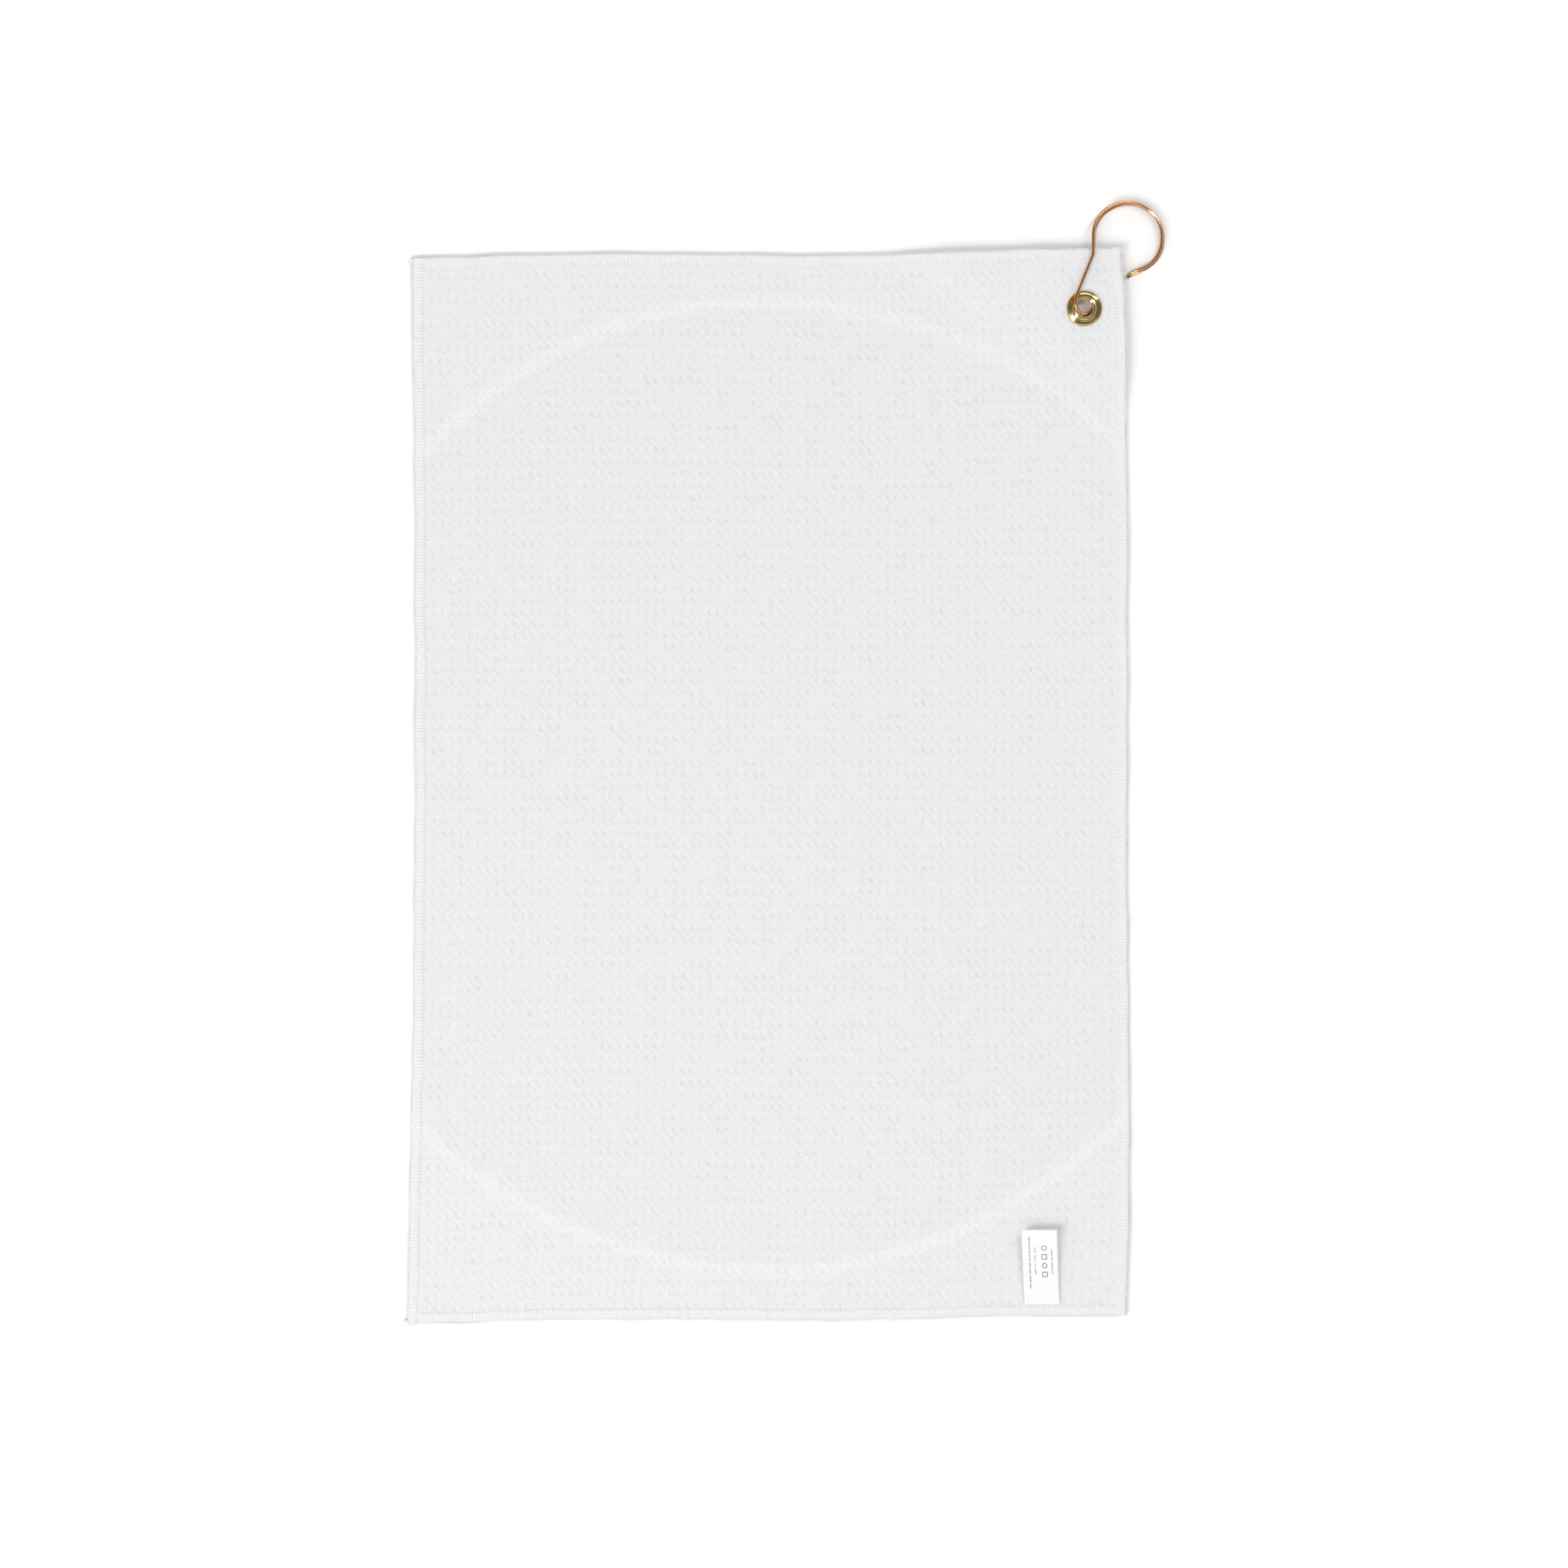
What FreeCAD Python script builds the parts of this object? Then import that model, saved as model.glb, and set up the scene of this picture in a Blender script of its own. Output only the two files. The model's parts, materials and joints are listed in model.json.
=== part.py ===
import FreeCAD, Part
import math
import os

from FreeCAD import Vector

# A golf towel lying flat on the XY plane, all lengths in millimetres, all angles in degrees.
# The origin is the middle of the towel on its underside. +Y points to the end with the grommet,
# +X to the side with the grommet, and +Z up, out of the unprinted side.

# cloth
towel_width = 406.4
towel_length = 609.6
cloth_thickness = 1.8

# overlocked edge: thread wrapped round a hem that it squeezes
seam_width = 6.0
seam_overhang = 0.4
seam_thickness = 2.2
hem_thickness = 1.2
chain_radius = 0.75
chain_inset = 1.5
chain_ends = {("left", "upper"): 1.7, ("left", "lower"): 2.8, ("right", "upper"): 0.9}

# needle thread: a straight row along the inner border of the overlocked edge
needle_width = 0.4
needle_height = 0.3

# crosswise fold, where the two halves of the cloth meet
fold_offset = 1.0
fold_gap = 0.6

# care label, caught by its lower edge in the bottom seam, its free end standing up
label_width = 20.4
label_length = 42.4
label_thickness = 0.4
label_from_side = 47.6
label_lean = 2.4
label_rise = 4.5
label_gap = 0.25

# grommet: flange below, barrel through the cloth, bead rolled over a neck washer above
grommet_from_side = 23.6
grommet_from_top = 34.5
bore_radius = 4.75
flange_width = 5.55
flange_height = 1.0
brass_sheet = 0.45
bead_radius = 1.2
bead_lip_angle = 17.0
barrel_gap = 0.1
washer_flat = 0.6
washer_dome = 0.85
squeeze = 0.3

# hook: one wire bent double, its bend passed through the grommet
wire_diameter = 1.8
wire_gap = 0.5
strand_gap = 0.1
shank_lean = 22.0
neck_across = 4.9
neck_kink_drop = 10.2
kink_radius = 6.0
loop_radius = 19.7
loop_drop = 0.9
loop_turn = 245.4
loop_bends = 4
tip_gap = 0.3
strand_shift_x = 0.8
strand_shift_y = -0.75

# corner of the cloth lifted clear of the wire that runs under it
plateau_margin = 3.7
ramp_length = 30.0

# derived places
half_width = towel_width / 2
half_length = towel_length / 2
hem_low = (cloth_thickness - hem_thickness) / 2
wire_radius = wire_diameter / 2
grommet_x = half_width - grommet_from_side
grommet_y = half_length - grommet_from_top
grommet_radius = bore_radius + flange_width
flange_low = wire_diameter + wire_gap
clamp_low = flange_low + flange_height
corner_lift = clamp_low - squeeze
clamp_high = corner_lift + cloth_thickness - squeeze
bead_across = bore_radius + bead_radius
bead_z = clamp_high + brass_sheet - bead_radius * math.sin(math.radians(bead_lip_angle))
front_z = bead_z + bead_radius + wire_gap + wire_radius
back_z = wire_radius
loop_front_z = back_z + wire_diameter + strand_gap
corner_reach = math.hypot(grommet_from_side, grommet_from_top)
plateau_reach = grommet_radius + plateau_margin
lower_edge = fold_offset - fold_gap / 2
upper_edge = fold_offset + fold_gap / 2

grommet_centre = Vector(grommet_x, grommet_y, 0)
inward = Vector(-grommet_from_side, -grommet_from_top, 0).normalize()
across = Vector(0, 0, 1).cross(inward)


def arc_edge(first, middle, last):
    return Part.Arc(first, middle, last).toShape()


def line_edge(first, last):
    return Part.LineSegment(first, last).toShape()


# cloth layers

ramp_angle = 2 * math.atan2(corner_lift, ramp_length)
ramp_radius = ramp_length / 2 / math.sin(ramp_angle)


def ramp_points():
    """Five points of the S curve from the plateau down to the floor, as (reach, height)."""
    half = ramp_angle / 2
    across_half = ramp_radius * math.sin(half)
    down_half = ramp_radius * (1 - math.cos(half))
    ramp_end = plateau_reach + ramp_length
    return [
        (plateau_reach, corner_lift),
        (plateau_reach + across_half, corner_lift - down_half),
        (plateau_reach + ramp_length / 2, corner_lift / 2),
        (ramp_end - across_half, down_half),
        (ramp_end, 0.0),
    ]


def height_at(x, y):
    """Height of the underside of the cloth over the plan point (x, y)."""
    reach = (Vector(x, y, 0) - grommet_centre).dot(inward)
    if reach <= plateau_reach:
        return corner_lift
    if reach >= plateau_reach + ramp_length:
        return 0.0
    along = reach - plateau_reach
    if along <= ramp_length / 2:
        return corner_lift - ramp_radius + math.sqrt(ramp_radius**2 - along**2)
    return ramp_radius - math.sqrt(ramp_radius**2 - (ramp_length - along) ** 2)


def ramp_curve(offset):
    """Edges of the underside, seen along the ramp and raised by offset, from corner to far end."""
    def place(reach, height):
        return grommet_centre + inward * reach + Vector(0, 0, height + offset)

    reach_all = towel_width + towel_length
    points = [place(*point) for point in ramp_points()]
    return [
        line_edge(place(-reach_all, corner_lift), points[0]),
        arc_edge(*points[0:3]),
        arc_edge(*points[2:5]),
        line_edge(points[4], place(reach_all, 0)),
    ]


def slab(low, high):
    """Endless layer of cloth between two heights over the underside, lifted at the corner."""
    bottom = ramp_curve(low)
    top = ramp_curve(high)
    near = line_edge(bottom[0].Vertexes[0].Point, top[0].Vertexes[0].Point)
    far = line_edge(bottom[-1].Vertexes[-1].Point, top[-1].Vertexes[-1].Point)
    outline = Part.Wire(Part.__sortEdges__(bottom + [far] + top + [near]))
    spread = towel_width + towel_length
    face = Part.Face(outline)
    face.translate(across * -spread)
    return face.extrude(across * (2 * spread))


def layer(low, high, x0, x1, y0, y1):
    """Layer of cloth over a plan rectangle."""
    if y1 <= fold_offset:
        return Part.makeBox(x1 - x0, y1 - y0, high - low, Vector(x0, y0, low))
    room = corner_lift + high + 1
    prism = Part.makeBox(x1 - x0, y1 - y0, 2 * room, Vector(x0, y0, -room))
    return slab(low, high).common(prism)


def half_span(half):
    """Y range of one half of the cloth, hem included."""
    if half == "lower":
        return -half_length, lower_edge
    return upper_edge, half_length


def hem(half):
    return layer(hem_low, hem_low + hem_thickness, -half_width, half_width, *half_span(half))


def towel_panel(half):
    """One half of the cloth: full thickness in the field, squeezed thinner in the hem."""
    low, high = half_span(half)
    if half == "lower":
        low += seam_width
    else:
        high -= seam_width
    inner = half_width - seam_width
    field = layer(0, cloth_thickness, -inner, inner, low, high)
    return field.fuse(hem(half)).removeSplitter()


def grommet_pocket():
    """What the grommet takes out of the cloth: the hole and the rings squeezed round it."""
    hole_radius = bore_radius + brass_sheet + barrel_gap
    height = 2 * (corner_lift + cloth_thickness)
    rim = grommet_radius + barrel_gap
    hole = Part.makeCylinder(hole_radius, height, grommet_centre)
    below = Part.makeCylinder(rim, clamp_low, grommet_centre)
    above = Part.makeCylinder(rim, height, grommet_centre + Vector(0, 0, clamp_high))
    return hole.fuse([below, above])


# sewn edges


def chain_end(side, half):
    """Short end of the overlock chain that sticks out sideways past a corner."""
    reach = chain_ends[(side, half)]
    outward = -1 if side == "left" else 1
    inner_end = half_width + seam_overhang - chain_radius
    y = half_length - chain_inset
    if half == "lower":
        y = -y
    z = height_at(outward * half_width, y) + seam_thickness / 2
    start = Vector(outward * inner_end, y, z)
    return Part.makeCylinder(chain_radius, reach + chain_radius, start, Vector(outward, 0, 0))


def side_seam(side, half):
    """Overlocked edge on the left or right of one half, over the whole length of that half."""
    low, high = half_span(half)
    if half == "lower":
        low -= seam_overhang
    else:
        high += seam_overhang
    outer = half_width + seam_overhang
    inner = half_width - seam_width
    x0, x1 = (-outer, -inner) if side == "left" else (inner, outer)
    band = layer(0, seam_thickness, x0, x1, low, high)
    if (side, half) in chain_ends:
        band = band.fuse(chain_end(side, half))
    return band.cut(hem(half))


def end_seam(half):
    """Overlocked edge across the top or the bottom, between the two side seams."""
    inner = half_width - seam_width
    outer_y = half_length + seam_overhang
    inner_y = half_length - seam_width
    low, high = (-outer_y, -inner_y) if half == "lower" else (inner_y, outer_y)
    return layer(0, seam_thickness, -inner, inner, low, high).cut(hem(half))


def side_needle(side, half):
    """Needle thread along a side, on the cloth against the inner border of the seam."""
    low, high = half_span(half)
    if half == "lower":
        low += seam_width
    else:
        high -= seam_width
    outer = half_width - seam_width
    inner = outer - needle_width
    x0, x1 = (-outer, -inner) if side == "left" else (inner, outer)
    return layer(cloth_thickness, cloth_thickness + needle_height, x0, x1, low, high)


def end_needle(half):
    """Needle thread across the top or the bottom, between the two side rows."""
    reach = half_width - seam_width - needle_width
    outer_y = half_length - seam_width
    inner_y = outer_y - needle_width
    low, high = (-outer_y, -inner_y) if half == "lower" else (inner_y, outer_y)
    return layer(cloth_thickness, cloth_thickness + needle_height, -reach, reach, low, high)


# care label

label_root_y = -half_length + seam_width
label_seat = max(seam_thickness, cloth_thickness + needle_height)
label_root_z = label_seat + label_gap + label_thickness / 2
label_x = half_width - label_from_side


def label_arc(radius, centre, sweep):
    """Edge of one face of the label, seen from the side, from its sewn edge to its free end."""
    def place(angle):
        return centre + Vector(0, radius * math.sin(angle), -radius * math.cos(angle))

    return arc_edge(place(0), place(sweep / 2), place(sweep))


def care_label():
    """Strip of tape that leaves the seam level and curls up to its free end."""
    sweep = 2 * math.atan2(label_rise, label_length)
    curl = label_length / math.sin(sweep)
    half = label_thickness / 2
    centre = Vector(label_x - label_width, label_root_y, label_root_z + curl)
    lower = label_arc(curl + half, centre, sweep)
    upper = label_arc(curl - half, centre, sweep)
    root = line_edge(lower.Vertexes[0].Point, upper.Vertexes[0].Point)
    free = line_edge(lower.Vertexes[-1].Point, upper.Vertexes[-1].Point)
    profile = Part.Face(Part.Wire(Part.__sortEdges__([lower, free, upper, root])))
    strip = profile.extrude(Vector(2 * label_width, 0, 0))
    shift = (label_length + 1) * math.tan(math.radians(label_lean))
    corners = [
        Vector(label_x - label_width / 2, label_root_y - 1, 0),
        Vector(label_x + label_width / 2, label_root_y - 1, 0),
        Vector(label_x + label_width / 2 - shift, label_root_y + label_length + 1, 0),
        Vector(label_x - label_width / 2 - shift, label_root_y + label_length + 1, 0),
    ]
    outline = Part.Face(Part.makePolygon(corners + corners[:1]))
    room = label_root_z + label_rise + label_thickness + 1
    return strip.common(outline.extrude(Vector(0, 0, room)))


# grommet


def turned(edges):
    """Solid of revolution about the bore's axis, from edges given as (radius, z) points."""
    shapes = []
    for points in edges:
        places = [grommet_centre + Vector(r, 0, z) for r, z in points]
        shapes.append(arc_edge(*places) if len(places) == 3 else line_edge(*places))
    face = Part.Face(Part.Wire(Part.__sortEdges__(shapes)))
    solid = face.revolve(grommet_centre, Vector(0, 0, 1), 360)
    return Part.Solid(solid.Shells[0]) if solid.ShapeType != "Solid" else solid


def bead_point(radius, angle):
    turn = math.radians(angle)
    return bead_across + radius * math.cos(turn), bead_z + radius * math.sin(turn)


def lip_angle(radius):
    """Angle at which a face of the bead, of this radius, comes down on the washer's seat."""
    seat_height = clamp_high + brass_sheet - bead_z
    return math.degrees(math.asin(seat_height / radius))


def grommet():
    """Drawn brass eyelet, one sheet thick: domed flange, barrel and rolled bead."""
    sheet = brass_sheet
    outer = bead_radius
    inner = bead_radius - sheet
    outer_lip = lip_angle(outer)
    inner_lip = lip_angle(inner)
    wall = bore_radius + sheet
    flange_mid = (wall + grommet_radius) / 2
    rim_low = clamp_low - sheet
    crown = flange_low + sheet
    edges = [
        # bore wall and the outside of the bead
        [(bore_radius, clamp_low), (bore_radius, bead_z)],
        [(bore_radius, bead_z), bead_point(outer, (180 + outer_lip) / 2), bead_point(outer, outer_lip)],
        [bead_point(outer, outer_lip), bead_point(inner, inner_lip)],
        # inside of the bead and the outside of the barrel
        [bead_point(inner, inner_lip), bead_point(inner, (180 + inner_lip) / 2), (wall, bead_z)],
        [(wall, bead_z), (wall, clamp_low)],
        # flange: its inner face, its rim and its outer face
        [(wall, clamp_low), (flange_mid, crown), (grommet_radius - sheet, clamp_low)],
        [(grommet_radius - sheet, clamp_low), (grommet_radius, clamp_low)],
        [(grommet_radius, clamp_low), (grommet_radius, rim_low)],
        [(grommet_radius, rim_low), (flange_mid, flange_low), (bore_radius, clamp_low)],
    ]
    return turned(edges)


def grommet_washer():
    """Stamped neck washer: a flat seat under the bead and a domed outer ring."""
    hole = bore_radius + brass_sheet + barrel_gap
    seat = bead_point(bead_radius, bead_lip_angle)[0] + washer_flat
    top = clamp_high + brass_sheet
    middle = (seat + grommet_radius) / 2
    crown = clamp_high + washer_dome
    edges = [
        [(hole, clamp_high), (hole, top)],
        [(hole, top), (seat, top)],
        [(seat, top), (middle, crown), (grommet_radius, clamp_high + brass_sheet / 2)],
        [(grommet_radius, clamp_high + brass_sheet / 2), (grommet_radius, clamp_high)],
        [(grommet_radius, clamp_high), (hole, clamp_high)],
    ]
    return turned(edges)


# hook


def loop_points(centre_x, centre_y, near_z, far_z):
    """Corners that a strand bends round on its way over the loop, and the tip it ends at."""
    step = loop_turn / loop_bends
    corner = loop_radius / math.cos(math.radians(step / 2))
    points = []
    for index in range(loop_bends):
        angle = math.radians(180 - (index + 0.5) * step)
        z = near_z if index == 0 else far_z
        points.append(Vector(centre_x + corner * math.cos(angle), centre_y + corner * math.sin(angle), z))
    heading = math.radians(90 - loop_turn)
    direction = Vector(math.cos(heading), math.sin(heading), 0)
    end_angle = math.radians(180 - loop_turn)
    last = Vector(math.cos(end_angle), math.sin(end_angle), 0) * loop_radius
    last += Vector(centre_x, centre_y, far_z)
    cut_corner = wire_radius * abs(direction.y)
    tip_x = grommet_from_side + seam_overhang + cut_corner + tip_gap
    points.append(last + direction * ((tip_x - last.x) / direction.x))
    return points


def eye_points():
    """Corners of the closed bend, from over the bead, through the bore, to under the flange.

    Each station is a plan angle with an angle round the rim that the wire goes round, which is
    the bead above the cloth and the edge of the flange below it."""
    swing = bead_radius + wire_radius + wire_gap
    flange_rim_z = flange_low + bead_radius
    stations = [
        (158, 90, bead_z),
        (197, 140, bead_z),
        (237, 178, bead_z),
        (285, 182, flange_rim_z),
        (330, 225, flange_rim_z),
        (8, 262, flange_rim_z),
    ]
    points = []
    for plan, roll, rim_z in stations:
        reach = bead_across + swing * math.cos(math.radians(roll))
        z = max(back_z, rim_z + swing * math.sin(math.radians(roll)))
        turn = math.radians(plan)
        points.append(Vector(reach * math.cos(turn), reach * math.sin(turn), z))
    return points


def rounded_path(points, radii):
    """Straight runs joined by tangent arcs. A corner with no radius gets the largest that fits."""
    starts = [points[0]]
    arcs = []
    for index in range(1, len(points) - 1):
        corner = points[index]
        back = points[index - 1] - corner
        ahead = points[index + 1] - corner
        half_turn = (math.pi - back.getAngle(ahead)) / 2
        if index in radii:
            setback = radii[index] * math.tan(half_turn)
        else:
            setback = 0.49 * min(back.Length, ahead.Length)
        radius = setback / math.tan(half_turn)
        back.normalize()
        ahead.normalize()
        entry = corner + back * setback
        leave = corner + ahead * setback
        towards = (back + ahead).normalize()
        middle = corner + towards * (radius / math.cos(half_turn) - radius)
        arcs.append((entry, middle, leave))
        starts += [entry, leave]
    starts.append(points[-1])
    edges = []
    for index in range(0, len(starts), 2):
        edges.append(line_edge(starts[index], starts[index + 1]))
        if index // 2 < len(arcs):
            edges.append(arc_edge(*arcs[index // 2]))
    return Part.Wire(edges)


def hook_wire():
    """The whole wire, from its front tip over the towel and back to its rear tip."""
    loop_y = corner_reach - loop_drop
    kink = Vector(neck_across, loop_y - neck_kink_drop, 0)
    shift = Vector(strand_shift_x, strand_shift_y, 0)
    front = loop_points(neck_across + loop_radius, loop_y, front_z, loop_front_z)
    back_centre = Vector(neck_across + loop_radius, loop_y, 0) + shift
    back = loop_points(back_centre.x, back_centre.y, back_z, back_z)
    front_kink = kink + Vector(0, 0, front_z)
    back_kink = kink + shift + Vector(0, 0, back_z)
    lean = math.radians(shank_lean)
    shank = kink.y - bead_across
    shank_end = kink + Vector(-math.tan(lean), -1, 0) * shank + Vector(0, 0, front_z)
    eye = eye_points()
    foot = Vector(neck_across, bead_across, back_z)
    points = front[::-1] + [front_kink, shank_end] + eye + [foot, back_kink] + back
    points = [grommet_centre + point for point in points]
    front_count = len(front)
    radii = {front_count: kink_radius, len(points) - len(back) - 1: kink_radius}
    path = rounded_path(points, radii)
    start = points[0]
    profile = Part.Wire(Part.makeCircle(wire_radius, start, points[1] - points[0]))
    return path.makePipeShell([profile], True, False)


# all pieces


def build():
    nodes = {}
    pocket = grommet_pocket()
    nodes["towel_panel_lower"] = towel_panel("lower")
    nodes["towel_panel_upper"] = towel_panel("upper").cut(pocket)
    for half in ("lower", "upper"):
        end = "bottom" if half == "lower" else "top"
        nodes["overlock_" + end] = end_seam(half)
        nodes["needle_thread_" + end] = end_needle(half)
        for side in ("left", "right"):
            nodes[f"overlock_{side}_{half}"] = side_seam(side, half)
            nodes[f"needle_thread_{side}_{half}"] = side_needle(side, half)
    nodes["care_label"] = care_label()
    nodes["grommet"] = grommet()
    nodes["grommet_washer"] = grommet_washer()
    nodes["hook_wire"] = hook_wire()
    return nodes


def export(nodes):
    os.makedirs("parts", exist_ok=True)
    for name, shape in nodes.items():
        solids = shape.Solids
        if not shape.isValid() or not solids:
            raise ValueError(name + " is not a valid solid")
        solid = solids[0] if len(solids) == 1 else Part.makeCompound(solids)
        solid.exportStep("parts/" + name + ".step")


export(build())
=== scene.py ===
# golf towel laid out flat with its plain side up, grommet corner at the top right
import json
import math
import random

import bmesh
import bpy
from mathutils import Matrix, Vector, noise


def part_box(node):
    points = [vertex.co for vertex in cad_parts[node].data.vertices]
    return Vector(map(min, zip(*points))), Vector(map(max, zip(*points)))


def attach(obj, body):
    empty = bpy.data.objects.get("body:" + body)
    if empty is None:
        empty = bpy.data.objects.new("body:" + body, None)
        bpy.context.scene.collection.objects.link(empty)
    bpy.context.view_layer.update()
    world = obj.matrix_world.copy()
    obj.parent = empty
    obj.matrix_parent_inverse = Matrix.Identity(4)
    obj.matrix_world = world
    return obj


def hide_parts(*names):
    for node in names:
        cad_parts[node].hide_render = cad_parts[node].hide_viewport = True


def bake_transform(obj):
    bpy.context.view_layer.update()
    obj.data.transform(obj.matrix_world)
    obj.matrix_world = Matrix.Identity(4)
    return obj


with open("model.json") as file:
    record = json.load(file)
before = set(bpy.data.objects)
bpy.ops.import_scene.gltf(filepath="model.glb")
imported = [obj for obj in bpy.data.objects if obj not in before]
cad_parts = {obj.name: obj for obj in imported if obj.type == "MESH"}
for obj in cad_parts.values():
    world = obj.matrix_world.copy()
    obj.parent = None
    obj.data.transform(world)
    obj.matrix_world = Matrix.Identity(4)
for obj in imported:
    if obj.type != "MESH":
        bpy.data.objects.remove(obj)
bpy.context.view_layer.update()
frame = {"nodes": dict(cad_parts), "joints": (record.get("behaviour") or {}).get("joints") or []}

mm = 0.001
joints = {joint["name"]: joint for joint in frame["joints"]}
clothLow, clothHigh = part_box("towel_panel_lower")
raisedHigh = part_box("towel_panel_upper")[1]
halfWide = clothHigh.x
halfLong = -clothLow.y
clothThick = clothHigh.z
cornerLift = raisedHigh.z - clothThick
grommetLow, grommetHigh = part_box("grommet")
grommetCentre = (grommetLow + grommetHigh) / 2
grommetRadius = (grommetHigh.x - grommetLow.x) / 2
foldY = joints["centre_fold"]["pos_m"][1]
labelRoot = Vector(joints["label_flap"]["pos_m"])
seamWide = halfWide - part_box("overlock_top")[1].x


def linear(hexColour):
    values = []
    for i in (0, 2, 4):
        c = int(hexColour[i:i + 2], 16) / 255
        values.append(c / 12.92 if c <= 0.04045 else ((c + 0.055) / 1.055) ** 2.4)
    return (*values, 1.0)


def addNode(tree, kind, inputs=None, **settings):
    node = tree.nodes.new(kind)
    for name, value in settings.items():
        setattr(node, name, value)
    for key, value in (inputs or {}).items():
        if isinstance(value, bpy.types.NodeSocket):
            tree.links.new(value, node.inputs[key])
        else:
            node.inputs[key].default_value = value
    return node


def mathNode(tree, operation, *values):
    return addNode(tree, "ShaderNodeMath", dict(enumerate(values)), operation=operation).outputs[0]


def mixNode(tree, factor, first, second, **settings):
    colours = {"Factor": factor, "A": first, "B": second}
    mix = addNode(tree, "ShaderNodeMix", colours, data_type="RGBA", **settings)
    return mix.outputs["Result"]


def setRamp(node, stops):
    ramp = node.color_ramp
    while len(ramp.elements) < len(stops):
        ramp.elements.new(0.5)
    for element, (position, colour) in zip(ramp.elements, stops):
        element.position = position
        element.color = (colour, colour, colour, 1.0) if isinstance(colour, float) else colour
    return node.outputs["Color"]


def newMaterial(name):
    material = bpy.data.materials.new(name)
    material.use_nodes = True
    material.node_tree.nodes.clear()
    return material, material.node_tree


def finishMaterial(tree, inputs):
    shader = addNode(tree, "ShaderNodeBsdfPrincipled", inputs)
    addNode(tree, "ShaderNodeOutputMaterial", {"Surface": shader.outputs["BSDF"]})


def smoothStep(low, high, value):
    t = min(1.0, max(0.0, (value - low) / (high - low)))
    return t * t * (3 - 2 * t)


def addPiece(name, mesh, material=None):
    piece = bpy.data.objects.new(name, mesh)
    bpy.context.scene.collection.objects.link(piece)
    if material:
        mesh.materials.append(material)
    return piece


def meshFrom(bm, name):
    mesh = bpy.data.meshes.new(name)
    for face in bm.faces:
        face.smooth = True
    bm.to_mesh(mesh)
    bm.free()
    return mesh


# how the cloth lies: pulled a little out of square, and lifted at the corner by the wire under it
lay = {
    "bow": 1.0 * mm,            # the whole towel bows to the right at mid length
    "endsBack": 1.2 * mm,       # and back to the left at both ends
    "spread": 0.2 * mm,         # how far each long edge lies out from square
    "footSpread": 1.8 * mm,     # and how much further below the middle
    "shorten": 1.1 * mm,        # how far the top end is drawn down
    "drop": 1.75 * mm,          # the left side lies lower than the right
    "wave": 1.0 * mm,           # the ends wave up and down
    "waveLong": 1.35,           # in half widths
    "rampStart": grommetRadius + 3.7 * mm,
    "rampLong": 30 * mm,
    "rise": 0.5 * mm,           # height of the slow rolls in the cloth
    "rollSize": 110 * mm,
    "wander": 0.9 * mm,         # small sideways shifts, so that no edge is ruler straight
    "wanderSize": 26 * mm,
    "cornerIn": 1.8 * mm,       # the raised corner is drawn in from the side
    "grommetHold": (11 * mm, 27 * mm),  # held still within the first reach, free past the second
    "labelHold": (14 * mm, 60 * mm),
}


def freeOfAnchors(x, y):
    # 0 where the grommet or the label holds the cloth in place, 1 well away from them
    fromGrommet = math.hypot(x - grommetCentre.x, y - grommetCentre.y)
    fromLabel = math.hypot(x - labelRoot.x, y - labelRoot.y)
    return smoothStep(*lay["grommetHold"], fromGrommet) * smoothStep(*lay["labelHold"], fromLabel)


def rampHeight(x, y):
    towards = Vector((grommetCentre.x - halfWide, grommetCentre.y - halfLong)).normalized()
    reach = Vector((x - grommetCentre.x, y - grommetCentre.y)).dot(towards)
    return cornerLift * (1 - smoothStep(lay["rampStart"], lay["rampStart"] + lay["rampLong"], reach))


def onTowel(x, y, z):
    # a point of the flat pattern, put where the laid cloth has it
    u = x / halfWide
    v = y / halfLong
    loose = freeOfAnchors(x, y)
    dx = lay["bow"] * (1 - v * v) - lay["endsBack"] * smoothStep(0.6, 1.0, abs(v))
    dx += u * (lay["spread"] + lay["footSpread"] * smoothStep(0.15, 0.65, -v))
    dy = lay["drop"] * (u - 1) + lay["wave"] * math.cos(2 * math.pi * (u - 0.9) / lay["waveLong"])
    dy -= lay["shorten"] * (v + 1) / 2
    place = Vector((x / lay["wanderSize"], y / lay["wanderSize"], 7.7))
    dx += noise.noise(place) * lay["wander"]
    dx -= lay["cornerIn"] * smoothStep(0.88, 1.0, v) * smoothStep(0.8, 1.0, u)
    dy += noise.noise(place.zyx) * lay["wander"]
    dy *= smoothStep(0.04, 0.6, abs(v))     # none at the fold, so that the fold line stays straight
    roll = 0.5 + noise.noise(Vector((x / lay["rollSize"], y / lay["rollSize"], 0.3)))
    height = lay["rise"] * min(1.0, max(0.0, roll)) * loose
    return Vector((x + dx * loose, y + dy * loose, z + height + rampHeight(x, y)))


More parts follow.
